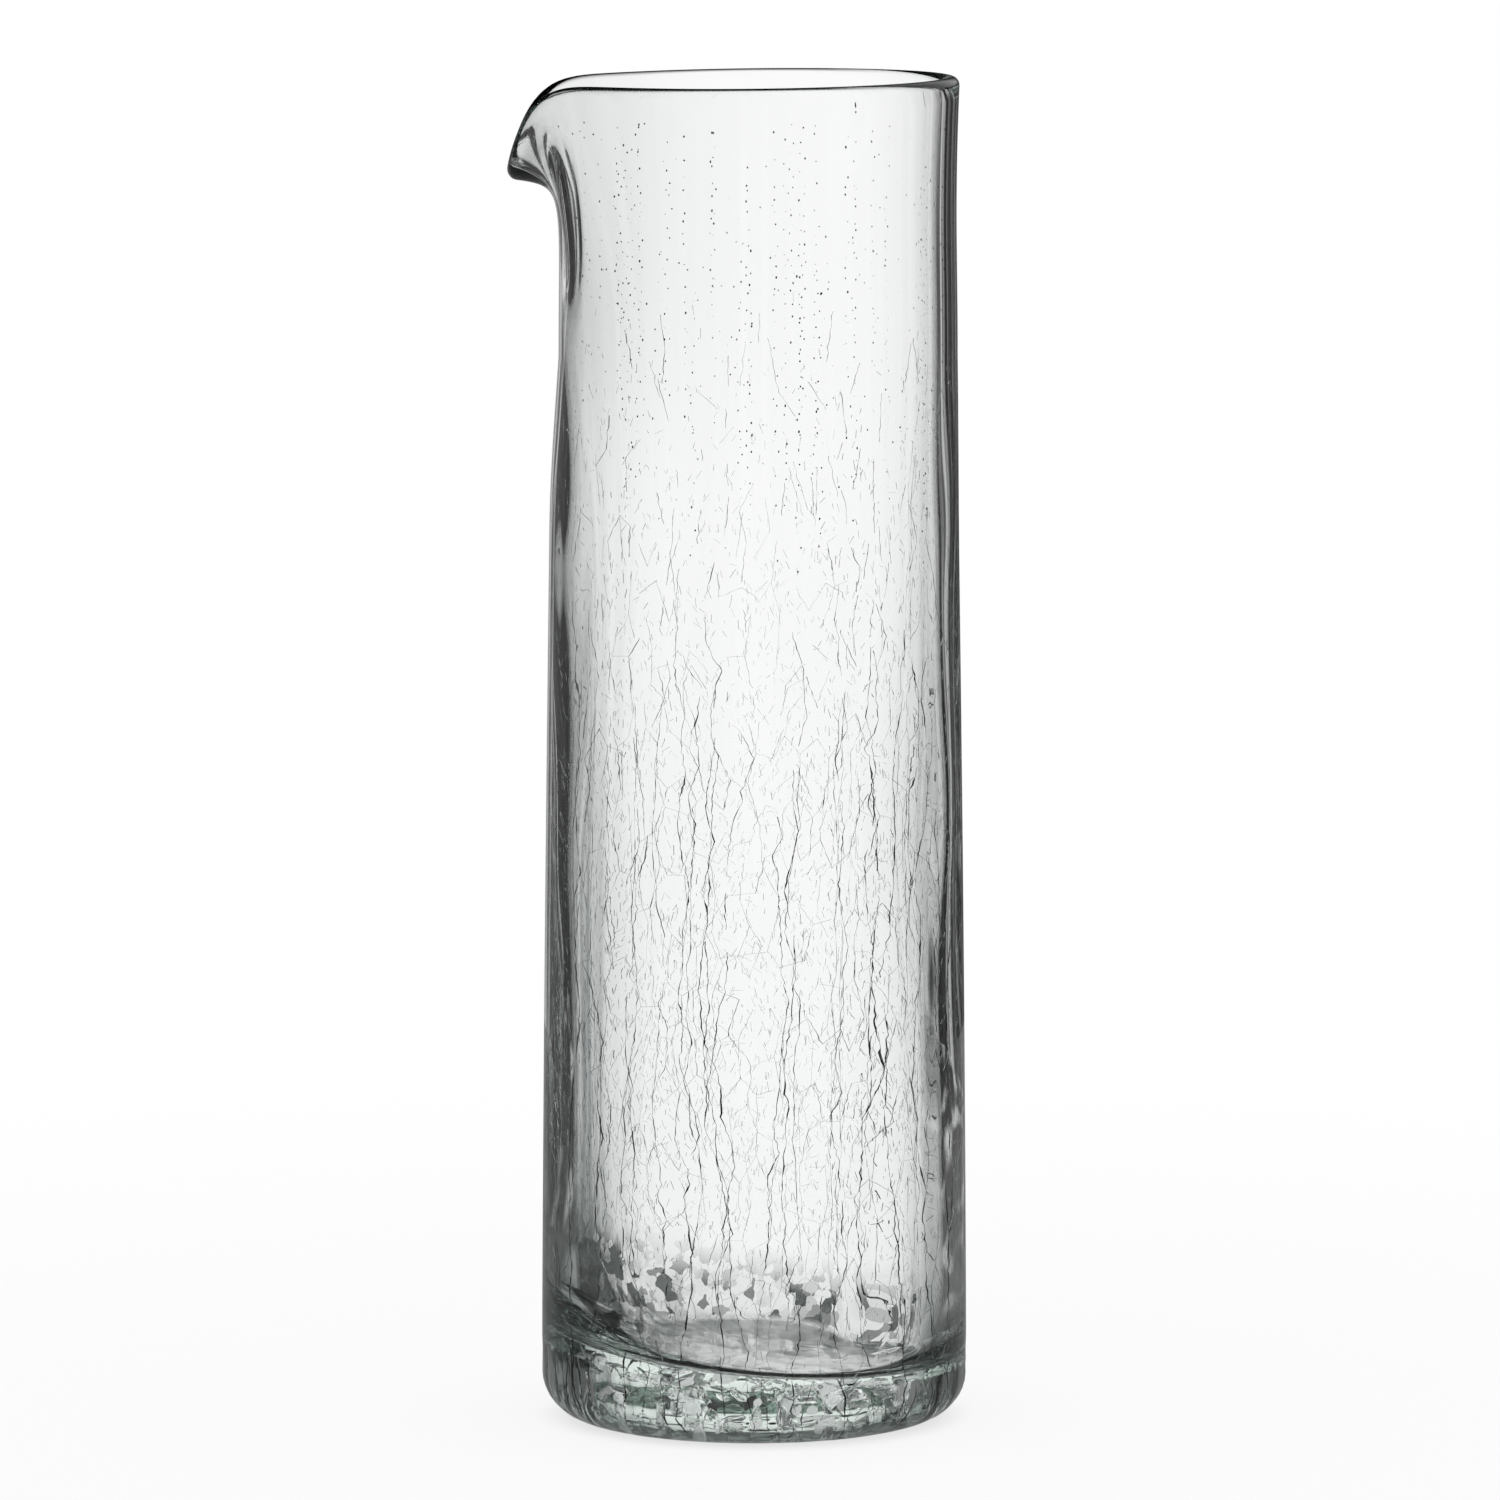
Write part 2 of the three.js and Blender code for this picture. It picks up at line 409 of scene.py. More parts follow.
def fillet_corner(shape, angle):
    """Slope of the inside floor, reach of the fillet, and the corner that the fillet rounds off"""
    lean = math.cos(angle)
    slope = math.tan(shape.floor_tilt) * lean
    reach = shape.corner_round + shape.corner_wide * lean * lean + shape.corner_skew * lean
    radius = inner_radius(shape, shape.floor_thickness, angle)
    return slope, reach, radius, shape.floor_thickness + slope * radius


# The broken facets begin at the axis and are at their full height this far behind it, seen from the camera
FACETS_FULL = 16 * MM
# The flat inside floor keeps this share of their height
FLOOR_FACETS = 0.05
# Spreads the leans of neighbouring facets
FACET_VARIETY = 9.1
# Makes their leans the same on each run
FACET_SEED = 1


def far_side(place):
    """0 to 1 from the middle to the far side from the camera"""
    return smooth_step(place.y, 0, FACETS_FULL)


def spout_side(angle):
    """0 to 1 from the side away from the spout to the side below it"""
    return (1 + math.cos(angle)) / 2


def facet_lift(crackle, place):
    """Height of flat facets that lean at random, like broken ice, on the far side from the camera"""
    spot = place / crackle.facet_size
    _, cells = noise.voronoi(spot)
    lean = noise.noise_vector(cells[0] * FACET_VARIETY)
    return far_side(place) * (spot - cells[0]).dot(lean) * crackle.facet_slope * crackle.facet_size


def floor_point(shape, crackle, share, angle):
    slope, reach, radius, _ = fillet_corner(shape, angle)
    out = share * (radius - reach)
    z = shape.floor_thickness + slope * out
    return out, z + FLOOR_FACETS * facet_lift(crackle, place_round(out, z, angle))


def fillet_point(shape, crackle, share, angle):
    slope, reach, radius, corner = fillet_corner(shape, angle)
    start = Vector((radius - reach, corner - slope * reach))
    middle = Vector((inner_radius(shape, corner, angle), corner))
    end = Vector((inner_radius(shape, corner + reach, angle), corner + reach))
    out, z = start * (1 - share) ** 2 + middle * 2 * share * (1 - share) + end * share ** 2
    lift = facet_lift(crackle, place_round(out, z, angle))
    return out - lift * share ** 2, z + lift * FLOOR_FACETS * (1 - share)


def inner_wall_point(shape, crackle, share, angle):
    """The rings lie closer where the facets are, low down"""
    _, reach, _, corner = fillet_corner(shape, angle)
    low = corner + reach
    z = blend(low, CRACKLE_TOP, share ** 1.5)
    out = inner_radius(shape, z, angle)
    broken = 1 - smooth_step(z, low, low + crackle.facet_fade)
    uneven = crackle.unevenness * hand_blown(angle, z) * smooth_step(share, 0, 0.15)
    collar = smooth_step(share, 0.8, 1)
    wander = (uneven + crackle.ripple * upright_ripple(angle, z, 0)) * (1 - collar)
    return out - broken * facet_lift(crackle, place_round(out, z, angle)) + wander, z


def skin_radius(shape, crackle, z, angle):
    """Outside of the wall with its ripples and the dents of the foot, which only cut into the glass"""
    collar = smooth_step(z, 0.8 * CRACKLE_TOP, CRACKLE_TOP)
    ripple = (1 - collar) * crackle.ripple * (1 + upright_ripple(angle, z, 7)) / 2
    out = outer_radius(shape, z, angle)
    return out - ripple - dent(crackle, out, z, angle)


def dent(crackle, out, z, angle):
    """Depth of the small dents in the skin of the foot, which die out beside the inside floor"""
    low = 1 - smooth_step(z, 12 * MM, 18 * MM)
    hollow = (1 + noise.noise(place_round(out, z, angle) / crackle.dent_width)) / 2
    return low * crackle.heel_dent * hollow


def outer_wall_point(shape, crackle, share, angle):
    z = blend(CRACKLE_TOP, shape.heel_round, share)
    return skin_radius(shape, crackle, z, angle), z


def heel_point(shape, crackle, share, angle):
    turn = share * math.pi / 2
    side = skin_radius(shape, crackle, shape.heel_round, angle)
    out = side - shape.heel_round * (1 - math.cos(turn))
    z = shape.heel_round * (1 - math.sin(turn))
    deep = dent(crackle, out, z, angle) * share * (1 - share)
    return out - deep * math.cos(turn), z + deep * math.sin(turn)


def underside_point(shape, crackle, share, angle):
    edge = skin_radius(shape, crackle, shape.heel_round, angle) - shape.heel_round
    out = edge * (1 - share)
    wave = (1 + noise.noise(place_round(out, 0, angle) / crackle.wave_width)) / 2
    return out, crackle.underside_lift * wave * smooth_step(share, 0, 0.15)


def collar_frame(shape, angle):
    """Middle line of the collar wall at one angle: four curve handles, half the rim and its climb"""
    pull = bell(angle, shape.spout_width, shape.spout_fullness)
    notch = bell(angle, shape.spout_notch)
    foot_half = wall_thickness(shape, CRACKLE_TOP, angle) / 2
    foot = Vector((outer_radius(shape, CRACKLE_TOP, angle) - foot_half, CRACKLE_TOP))
    rim_half = blend(shape.wall_at_rim, shape.lip_thickness, notch) / 2
    fall = shape.rim_fall * (1 + math.cos(angle)) / 2
    rim = Vector((
        shape.mouth_radius + shape.spout_reach * pull - rim_half,
        shape.height - fall - shape.spout_drop * notch - rim_half))
    climb = blend(math.pi / 2 - shape.collar_flare, shape.lip_rise, notch)
    handle = blend(shape.collar_handle, shape.lip_handle, notch)
    rise = blend(shape.throat_handle, shape.spout_throat, notch)
    handles = (
        foot,
        foot + Vector((0, rise)),
        rim - handle * Vector((math.cos(climb), math.sin(climb))),
        rim)
    return handles, foot_half, rim_half, climb


def collar_point(shape, share, angle, side):
    """Point in the collar from the crackle to the rim: side is -1 on its inside and 1 on its outside"""
    (a, b, c, d), foot_half, rim_half, _ = collar_frame(shape, angle)
    rest = 1 - share
    centre = a * rest ** 3 + b * 3 * rest ** 2 * share + c * 3 * rest * share ** 2 + d * share ** 3
    along = (b - a) * rest ** 2 + (c - b) * 2 * rest * share + (d - c) * share ** 2
    along.normalize()
    half = blend(foot_half, rim_half, share ** shape.lip_gathering) * side
    return centre.x + half * along.y, centre.y - half * along.x


def collar_inside_point(shape, crackle, share, angle):
    return collar_point(shape, share, angle, -1)


def collar_outside_point(shape, crackle, share, angle):
    return collar_point(shape, 1 - share, angle, 1)


def rim_point(shape, crackle, share, angle):
    (_, _, _, rim), _, rim_half, climb = collar_frame(shape, angle)
    turn = climb + math.pi * (0.5 - share)
    return rim.x + rim_half * math.cos(turn), rim.y + rim_half * math.sin(turn)


# The glass from the middle of the inside floor, up, over the rim and down to the middle of the underside.
# Each stretch has its point function and its number of steps.
STRETCHES = (
    (floor_point, 22),
    (fillet_point, 12),
    (inner_wall_point, 84),
    (collar_inside_point, 24),
    (rim_point, 12),
    (collar_outside_point, 24),
    (outer_wall_point, 84),
    (heel_point, 9),
    (underside_point, 20),
)
SPIN_STEPS = 320


def rings_of_glass():
    """(point function, share) of every ring of the glass, in order"""
    rings = []
    for point_at, steps in STRETCHES:
        first = 1 if rings else 0
        rings += [(point_at, step / steps) for step in range(first, steps + 1)]
    return rings


def spin_section(name, points):
    """Spin an open section that starts and ends on the axis into a closed body"""
    bpy.ops.object.select_all(action="DESELECT")
    bpy.ops.mesh.primitive_circle_add(vertices=len(points), radius=1, fill_type="NOTHING")
    piece = bpy.context.object
    piece.name = piece.data.name = name
    ring = piece.data.attributes.new("ring", "INT", "POINT")
    for vertex, (radius, z) in zip(piece.data.vertices, points):
        vertex.co = place_round(radius, z, math.pi)
        ring.data[vertex.index].value = vertex.index
    bpy.ops.object.mode_set(mode="EDIT")
    bpy.ops.mesh.select_all(action="DESELECT")
    mesh = bmesh.from_edit_mesh(piece.data)
    mesh.verts.ensure_lookup_table()
    ends = {mesh.verts[0], mesh.verts[-1]}
    for edge in mesh.edges:
        edge.select_set(set(edge.verts) == ends)
    bmesh.update_edit_mesh(piece.data)
    bpy.ops.mesh.delete(type="EDGE_FACE")
    bpy.ops.mesh.select_all(action="SELECT")
    bpy.ops.mesh.spin(steps=SPIN_STEPS, angle=2 * math.pi, center=(0, 0, 0), axis=(0, 0, 1))
    bpy.ops.mesh.select_all(action="SELECT")
    bpy.ops.mesh.remove_doubles(threshold=0.01 * MM)
    bpy.ops.mesh.normals_make_consistent(inside=False)
    bpy.ops.object.mode_set(mode="OBJECT")
    return piece


# Shares of the way over the rim between which its painted shade sets in on its inside and clears on its
# outside
RIM_INSIDE = (0.15, 0.35)
RIM_OUTSIDE = (0.75, 0.9)
# Angles off the spout between which the painted shade of the rim fades out
RIM_CLEARS = (math.radians(110), math.radians(145))
# How dark the painted shade on the underside of the lip is, and the shares of the collar between which it
# clears
LIP_SHADE = 0.9
LIP_CLEARS = (0.05, 0.25)
# How strong the painted shade of the facets is on the flat floor, and in the corner below the spout
FLOOR_FACET_SHADE = 0.12
SPOUT_FACET_SHADE = 1.6
# Heights between which the painted shade of the foot fades: opposite the spout and below it
FOOT_SHADE_FROM = (14 * MM, 34 * MM)
FOOT_SHADE_TO = (60 * MM, 74 * MM)


def rim_shade_mark(shape, point_at, share, angle):
    """0 to 1: how dark the painted shade on the round of the rim and the underside of the lip is"""
    if point_at is rim_point:
        dark = smooth_step(share, *RIM_INSIDE) * (1 - smooth_step(share, *RIM_OUTSIDE))
        return dark * (1 - smooth_step(abs(angle), *RIM_CLEARS))
    if point_at is collar_outside_point:
        return LIP_SHADE * bell(angle, shape.spout_notch) * (1 - smooth_step(share, *LIP_CLEARS))
    return 0


def facet_shade_mark(shape, crackle, point_at, share, angle, place):
    """How strong the painted shade of the facets between the inside floor and the wall is: 1 on the far side
    """
    below_spout = spout_side(angle) ** 3
    strength = max(far_side(place), SPOUT_FACET_SHADE * below_spout)
    if point_at is floor_point:
        return FLOOR_FACET_SHADE
    if point_at is fillet_point:
        return blend(FLOOR_FACET_SHADE, strength, smooth_step(share, 0, 0.4))
    if point_at is inner_wall_point:
        _, reach, _, corner = fillet_corner(shape, angle)
        low = corner + reach
        fade = crackle.facet_fade * (1 + 0.4 * below_spout)
        return strength * (1 - smooth_step(place.z, low, low + fade))
    return 0


def plate_mark(point_at, share):
    """0 to 1: the smooth inside floor, which mirrors the far wall"""
    if point_at is floor_point:
        return 1
    return 1 - smooth_step(share, 0, 0.3) if point_at is fillet_point else 0


def foot_shade_mark(point_at, angle, place):
    """0 to 1: painted shade on the foot, which reaches higher under the spout"""
    side = spout_side(angle)
    low = 1 - smooth_step(place.z, blend(*FOOT_SHADE_FROM, side), blend(*FOOT_SHADE_TO, side))
    if point_at in (outer_wall_point, heel_point):
        return low
    return 0.6 * low * side ** 2 if point_at is inner_wall_point else 0


def edge_shade_mark(shape, angle, place):
    """How strong the painted shade is where the glass is seen along its surface: most below the spout, least
    high up
    """
    rise = place.z / shape.height
    plain = blend(0.65, 0.15, smooth_step(rise, 0.35, 0.85))
    below_spout = blend(1.5, 0.3, smooth_step(rise, 0.25, 0.75))
    streak = 1 + 1.3 * wall_noise(angle, place.z, turns=14, tall=0.12)
    return streak * blend(plain, below_spout, spout_side(angle))


def painted_band_shade_mark(shape, angle, place):
    """Soft upright bands of painted shade on the side below the spout, strongest in the throat"""
    band = (1 + wall_noise(angle, place.z, turns=5, tall=0.1)) / 2
    throat = smooth_step(place.z / shape.height, 0.65, 0.85)
    return spout_side(angle) ** 3 * (band + 1.3 * throat)


def shape_glass(piece, shape, crackle, rings):
    """Move every point of the spun body to its place on the real glass, and mark where painted shade darkens
    it and where the inside floor is coated
    """
    # All these marks but plate hold painted shade; plate holds the mirror coat of the inside floor
    for name in ("rim", "broken", "plate", "heavy", "edge", "painted_band_shade"):
        piece.data.attributes.new(name, "FLOAT", "POINT")
    marks = piece.data.attributes
    for vertex in piece.data.vertices:
        index = vertex.index
        point_at, share = rings[marks["ring"].data[index].value]
        angle = math.atan2(-vertex.co.y, -vertex.co.x)
        radius, z = point_at(shape, crackle, share, angle)
        vertex.co = place_round(max(radius, 0), z, angle)
        tones = {
            "rim": rim_shade_mark(shape, point_at, share, angle),
            "broken": facet_shade_mark(shape, crackle, point_at, share, angle, vertex.co),
            "plate": plate_mark(point_at, share),
            "heavy": foot_shade_mark(point_at, angle, vertex.co),
            "edge": edge_shade_mark(shape, angle, vertex.co),
            "painted_band_shade": painted_band_shade_mark(shape, angle, vertex.co),
        }
        for name, value in tones.items():
            marks[name].data[index].value = value


def skin_place(shape, crackle, angle, height):
    """Point and outward direction on the outside; below the heel the height runs on under the foot"""
    below = shape.heel_round - height
    side = skin_radius(shape, crackle, max(height, shape.heel_round), angle)
    if below <= 0:
        return place_round(side, height, angle), place_round(1, 0, angle)
    turn = min(below / shape.heel_round, math.pi / 2)
    tucked = below - turn * shape.heel_round
    radius = side - shape.heel_round * (1 - math.cos(turn)) - tucked
    z = shape.heel_round * (1 - math.sin(turn)) + (crackle.underside_lift if tucked > 0 else 0)
    return place_round(radius, z, angle), place_round(math.cos(turn), -math.sin(turn), angle)


def taper(index, count):
    """Near 0 at both ends of a crack and 1 in its middle"""
    return math.sqrt(math.sin(math.pi * (index + 0.5) / count))


# A crack that is shallower than this has healed
SHALLOWEST = 0.08 * MM


def unbroken(path):
    """The stretches of a crack that are open"""
    stretches = [[]]
    for point in path:
        _, _, depth = point
        if depth > SHALLOWEST:
            stretches[-1].append(point)
        elif stretches[-1]:
            stretches.append([])
    return [stretch for stretch in stretches if len(stretch) > 1]


def upright_strength(height, phase):
    """0 to 1: the long cracks grow faint and broken towards the collar"""
    share = height / CRACKLE_TOP
    swell = min(0.6 + 0.9 * noise.noise(Vector((phase, 5, height / (7 * MM)))), 1)
    faint = blend(1.0, 0.55, smooth_step(share, 0.3, 0.95))
    healed = 0.2 * smooth_step(share, 0.45, 0.95)
    return swell * faint - healed


# How strongly a long crack that has strayed leans back, for each metre
UPRIGHT_RETURN = 30


def upright_cracks(shape, crackle, draw):
    """Long cracks that climb from the foot in jagged runs, and break off at different heights"""
    paths = []
    for index in range(crackle.upright_count):
        base = 2 * math.pi * (index + draw.uniform(-0.45, 0.45)) / crackle.upright_count
        top = CRACKLE_TOP * draw.triangular(0.4, 1.02, 0.9)
        height = -draw.uniform(0, 16) * MM
        phase = 50 * draw.random()
        deepest = crackle.upright_depth * draw.uniform(0.45, 1)
        aside, lean, run = 0, 0, 0
        path = []
        while height < top:
            if run <= 0:
                run = draw.uniform(2, 7) * MM
                lean = draw.gauss(0, 0.2) - UPRIGHT_RETURN * aside
            jag = draw.gauss(0, 0.14) * MM
            depth = upright_strength(height, phase) * deepest
            path.append((base + (aside + jag) / shape.foot_radius, height, depth))
            step = draw.uniform(0.5, 1.5) * MM
            aside += lean * step
            height += step
            run -= step
        paths += unbroken(path)
    return paths


def cell_sides(columns, rows, draw):
    """Sides of irregular cells that cover a sheet of columns and rows and meet where it closes to a ring"""
    margin = 3  # rows and columns past the edges, so that the cells at the edges are whole
    jitter = {}
    seeds = []
    for row in range(-margin, rows + margin):
        for column in range(-margin, columns + margin):
            key = (column % columns, row)
            if key not in jitter:
                jitter[key] = Vector((draw.uniform(-0.48, 0.48), draw.uniform(-0.48, 0.48)))
            seeds.append(Vector((column, row)) + jitter[key])
    points, _, triangles, *_ = geometry.delaunay_2d_cdt(seeds, [], [], 0, 1e-6)
    across = {}
    for corners in triangles:
        middle = sum((points[corner] for corner in corners), Vector((0, 0))) / 3
        for first, second in zip(corners, corners[1:] + corners[:1]):
            across.setdefault(frozenset((first, second)), []).append(middle)
    sides = [ends for ends in across.values() if len(ends) == 2]
    return [(start, end) for start, end in sides if 0 <= (start.x + end.x) / 2 < columns]


def cell_cracks(shape, crackle, draw):
    """Finer cracks that part the wall into tall cells, stronger low down and where they run upright"""
    girth = 2 * math.pi * shape.foot_radius
    columns = round(girth / crackle.cell_width)
    rows = round(CRACKLE_TOP / crackle.cell_height)
    scale = Vector((girth / columns, CRACKLE_TOP / rows))
    paths = []
    for start, end in cell_sides(columns, rows, draw):
        start, end = start * scale, end * scale
        run = end - start
        upright = abs(run.y) / run.length
        high = smooth_step(start.y, 0.3 * CRACKLE_TOP, CRACKLE_TOP)
        strength = draw.random() * blend(0.55, 1, upright) * blend(1, 0.6, high)
        low_enough = shape.heel_round < start.y < CRACKLE_TOP
        if strength < blend(0.2, 0.5, high) or not low_enough:
            continue
        count = max(2, round(run.length / (1.1 * MM)) + 1)
        path = []
        for index in range(count):
            place = start + run * index / (count - 1)
            jag = draw.gauss(0, 0.13) * MM if 0 < index < count - 1 else 0
            depth = crackle.cell_depth * strength * draw.uniform(0.3, 1)
            path.append(((place.x + jag) / shape.foot_radius, place.y, depth))
        paths.append(path)
    return paths


def hair_cracks(shape, crackle, draw):
    """Short fine cracks, most of them upright"""
    paths = []
    for _ in range(crackle.hair_count):
        around = draw.uniform(0, 2 * math.pi)
        height = CRACKLE_TOP * draw.triangular(0.05, 1.05, 0.25)
        half = draw.uniform(0.2, 1.1) * MM
        lean = draw.gauss(0, 0.5)
        across = math.sin(lean) * half / shape.foot_radius
        rise = math.cos(lean) * half
        depth = crackle.hair_depth * draw.uniform(0.3, 1)
        paths.append([(around - across, height - rise, depth), (around + across, height + rise, depth)])
    return paths


def foot_cracks(shape, crackle, draw):
    """Deep cracks round the heavy foot"""
    paths = []
    for index in range(crackle.foot_count):
        around = 2 * math.pi * (index + draw.uniform(-0.5, 0.5)) / crackle.foot_count
        low = draw.uniform(-12, 8) * MM
        high = max(crackle.foot_reach * draw.uniform(0.5, 1.3), low + 4 * MM)
        count = max(3, round((high - low) / (2.2 * MM)))
        lean = draw.uniform(-0.35, 0.35)
        depth = crackle.foot_depth * draw.uniform(0.35, 1)
        path = []
        for step in range(count):
            height = blend(low, high, step / (count - 1))
            aside = (lean * (height - low) + draw.uniform(-0.6, 0.6) * MM) / shape.foot_radius
            path.append((around + aside, height, depth * taper(step, count)))
        paths.append(path)
    return paths


def skin_strokes(shape, crackle, paths, tilt, draw):
    """Cracks that start on the outside: for every point its place and how far it reaches into the glass"""
    strokes = []
    for path in paths:
        phase = 90 * draw.random()
        stroke = []
        for around, height, depth in path:
            angle = wrap(around)
            place, outward = skin_place(shape, crackle, angle, height)
            aside = place_round(1, 0, angle + math.pi / 2)
            # The blade of a crack twists to and fro along its length
            turn = tilt * math.sin(6 * noise.noise(Vector((phase, height / (3 * MM), around * 15))))
            inwards = aside * math.sin(turn) - outward * math.cos(turn)
            stroke.append((place - outward * crackle.skin, inwards * depth))
        strokes.append(stroke)
    return strokes


def floor_height(shape, radius, angle):
    """Height of the inside floor, as if it ran on into the wall"""
    return shape.floor_thickness + math.tan(shape.floor_tilt) * math.cos(angle) * radius


# Upright fractures stand in a ring in the foot. None starts in a rest of the ring narrower than this angle.
SHELL_SHORTEST = 0.1
# The last one ends this angle before the ring closes
SHELL_CLOSING = 0.03
# Angle between the points of a fracture
SHELL_STEP = 0.02


def shell_strokes(shape, crackle, draw):
    """Upright curved fractures in the foot, between its skin and its core"""
    strokes = []
    start = -math.pi
    while start < math.pi - SHELL_SHORTEST:
        end = min(start + draw.uniform(0.15, 0.45), math.pi - SHELL_CLOSING)
        depth = crackle.shell_depth + draw.uniform(-1, 1) * MM
        low = draw.uniform(1.2, 2.5) * MM
        phase = 40 * draw.random()
        count = round((end - start) / SHELL_STEP) + 2
        stroke = []
        for step in range(count):
            angle = blend(start, end, step / (count - 1))
            wave = 0.5 * MM * noise.noise(Vector((phase, angle * 8, 0)))
            radius = shape.foot_radius - depth + wave
            rise = floor_height(shape, radius, angle) - low - draw.uniform(0.8, 1.3) * MM
            reach = place_round(crackle.shell_lean * rise, rise, angle)
            stroke.append((place_round(radius, low, angle), reach))
        strokes.append(stroke)
        start = end + draw.uniform(0.006, 0.02)
    return strokes


def crack_piece(name, crackle, strokes):
    """Draw cracks as edges, extrude them into the glass and give them a gap"""
    places, edges, inwards = [], [], []
    for stroke in strokes:
        for index, (place, reach) in enumerate(stroke):
            if index:
                edges.append((len(places) - 1, len(places)))
            places.append(place)
            inwards.append(reach)
    data = bpy.data.meshes.new(name)
    data.from_pydata(places, edges, [])
    reach = data.attributes.new("inwards", "FLOAT_VECTOR", "POINT")
    for entry, vector in zip(reach.data, inwards):
        entry.vector = vector
    piece = bpy.data.objects.new(name, data)
    bpy.context.scene.collection.objects.link(piece)
    bpy.ops.object.select_all(action="DESELECT")
    piece.select_set(True)
    bpy.context.view_layer.objects.active = piece
    bpy.ops.object.mode_set(mode="EDIT")
    bpy.ops.mesh.select_all(action="SELECT")
    bpy.ops.mesh.extrude_edges_move()
    mesh = bmesh.from_edit_mesh(data)
    layer = mesh.verts.layers.float_vector["inwards"]
    for vertex in mesh.verts:
        if vertex.select:
            vertex.co += vertex[layer]
    bmesh.update_edit_mesh(data)
    bpy.ops.object.mode_set(mode="OBJECT")
    bpy.ops.object.modifier_add(type="SOLIDIFY")
    gap = piece.modifiers[-1]
    gap.thickness = crackle.crack_gap
    gap.offset = 0
    bpy.ops.object.modifier_apply(modifier=gap.name)
    bpy.ops.object.mode_set(mode="EDIT")
    bpy.ops.mesh.select_all(action="SELECT")
    bpy.ops.mesh.normals_make_consistent(inside=False)
    bpy.ops.object.mode_set(mode="OBJECT")
    return piece


def copy_to(piece, matrices):
    """Replace the mesh of a modelled piece by copies of it, one for each matrix"""
    gathered = bmesh.new()
    for matrix in matrices:
        copy = piece.data.copy()
        copy.transform(matrix)
        gathered.from_mesh(copy)
        bpy.data.meshes.remove(copy)
    gathered.to_mesh(piece.data)
    gathered.free()


def inside_foot(shape, place, margin):
    """True if a place is glass, clear of the outside, the underside and the inside"""
    angle = math.atan2(-place.y, -place.x)
    radius = math.hypot(place.x, place.y)
    heel = shape.heel_round
    side = outer_radius(shape, max(place.z, heel), angle) - margin
    if place.z < heel:
        side -= heel - math.sqrt(max(heel ** 2 - (heel - place.z) ** 2, 0))
    low_enough = place.z < floor_height(shape, radius, angle) - margin
    in_wall = radius > inner_radius(shape, place.z, angle) + margin
    return radius < side and place.z > margin and (low_enough or in_wall)


def finish_piece(piece, finish, *nodes):
    piece.data.materials.clear()
    piece.data.materials.append(finish)
    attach(piece, "root")
    if nodes:
        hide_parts(*nodes)


class Wire:
    """One output socket, so that Python's own operators can add Math nodes to it"""

    def __init__(self, board, socket):
        self.board = board
        self.socket = socket

    def __add__(self, other):
        return self.board.maths("ADD", self, other)

    __radd__ = __add__

    def __sub__(self, other):
        return self.board.maths("SUBTRACT", self, other)

    def __rsub__(self, other):
        return self.board.maths("SUBTRACT", other, self)

    def __mul__(self, other):
        return self.board.maths("MULTIPLY", self, other)

    __rmul__ = __mul__

    def __pow__(self, other):
        return self.board.maths("POWER", self, other)

    def __gt__(self, other):
        return self.board.maths("GREATER_THAN", self, other)


class Board:
    """The node tree of one finish"""

    def __init__(self, tree):
        self.tree = tree
        tree.nodes.clear()

    def node(self, kind, settings=None, **inputs):
        """Add a node: its settings first, then the values or links of its sockets"""
        added = self.tree.nodes.new("ShaderNode" + kind)
        for name, value in (settings or {}).items():
            setattr(added, name, value)
        for name, value in inputs.items():
            socket = self.socket(added, name)
            if isinstance(value, Wire):
                self.tree.links.new(value.socket, socket)
            else:
                socket.default_value = value
        return added

    def socket(self, node, name):
        """An input by its name, or by its place as input_0, input_1 and so on"""
        if name.startswith("input_"):
            return node.inputs[int(name[len("input_"):])]
        return node.inputs[name.replace("_", " ")]

    def out(self, node, name=0):
        return Wire(self, node.outputs[name])

    def mark(self, name):
        """A number that is kept with every point of the mesh"""
        return self.out(self.node("Attribute", {"attribute_name": name}), "Fac")

    def maths(self, operation, first, second):
        return self.out(self.node("Math", {"operation": operation}, input_0=first, input_1=second))

    def mix_colour(self, share, first, second):
        mixed = self.node("Mix", {"data_type": "RGBA"}, input_0=share, input_6=first, input_7=second)
        return self.out(mixed, 2)

    def ramp(self, value, low, high, first, second):
        """Smooth change from the first number to the second while the value goes from low to high"""
        return self.out(self.node(
            "MapRange", {"interpolation_type": "SMOOTHSTEP"}, Value=value,
            From_Min=low, From_Max=high, To_Min=first, To_Max=second))

    def travels(self):
        """1 for light that the glass mirrored, that it mirrored more than once, and that was inside it"""
        path = self.node("LightPath")
        times = self.out(path, "Glossy Depth")
        return times > 0.5, times > 1.5, self.out(path, "Transmission Depth") > 0.5

    def seen(self):
        """1 for light that the camera sees straight, through glass or in a mirror"""
        path = self.node("LightPath")
        straight = self.out(path, "Is Camera Ray") + self.out(path, "Is Transmission Ray")
        return (straight + self.out(path, "Is Glossy Ray")) > 0.5


def new_finish(name):
    finish = bpy.data.materials.new(name)
    finish.use_nodes = True
    return finish, Board(finish.node_tree)


